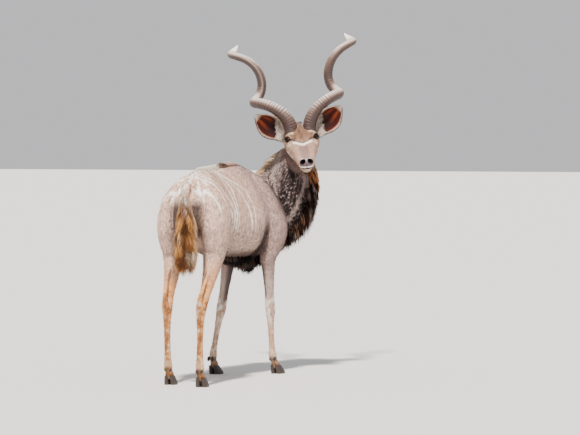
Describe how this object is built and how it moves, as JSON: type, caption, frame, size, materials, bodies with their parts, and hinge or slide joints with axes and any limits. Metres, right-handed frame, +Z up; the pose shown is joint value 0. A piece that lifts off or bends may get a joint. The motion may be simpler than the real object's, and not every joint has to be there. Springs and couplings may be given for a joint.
{
  "type": "greater kudu",
  "caption": "Life-size still model of a greater kudu bull standing and looking back over its right shoulder, with long spiral horns.",
  "frame": {"origin": "on the ground under the middle of the whole animal's box", "axes": "+Z up, -Y towards the front of the body, +X towards the animal's left side"},
  "size_m": [0.9121, 2.0424, 2.2389],
  "materials": {
    "body_coat": "short grey-brown hair with thin white stripes",
    "neck_coat": "dark grey-brown hair with a longer mane and throat fringe",
    "face_coat": "short brown hair with pale marks",
    "leg_coat": "short tan hair",
    "tail_hair": "long tan hair with pale edges",
    "ear": "thin skin with short hair",
    "horn": "ringed horn with pale tips",
    "hoof": "dark worn horn",
    "eye": "wet and dark"
  },
  "bodies": {
    "root": {"ear_left": "ear", "ear_right": "ear", "eye_left": "eye", "eye_right": "eye", "head": "face_coat", "hoof_fore_left_inner": "hoof", "hoof_fore_left_outer": "hoof", "hoof_fore_right_inner": "hoof", "hoof_fore_right_outer": "hoof", "hoof_hind_left_inner": "hoof", "hoof_hind_left_outer": "hoof", "hoof_hind_right_inner": "hoof", "hoof_hind_right_outer": "hoof", "horn_left": "horn", "horn_right": "horn", "leg_fore_left": "leg_coat", "leg_fore_right": "leg_coat", "leg_hind_left": "leg_coat", "leg_hind_right": "leg_coat", "neck": "neck_coat", "tail": "tail_hair", "torso": "body_coat"}
  },
  "joints": []
}
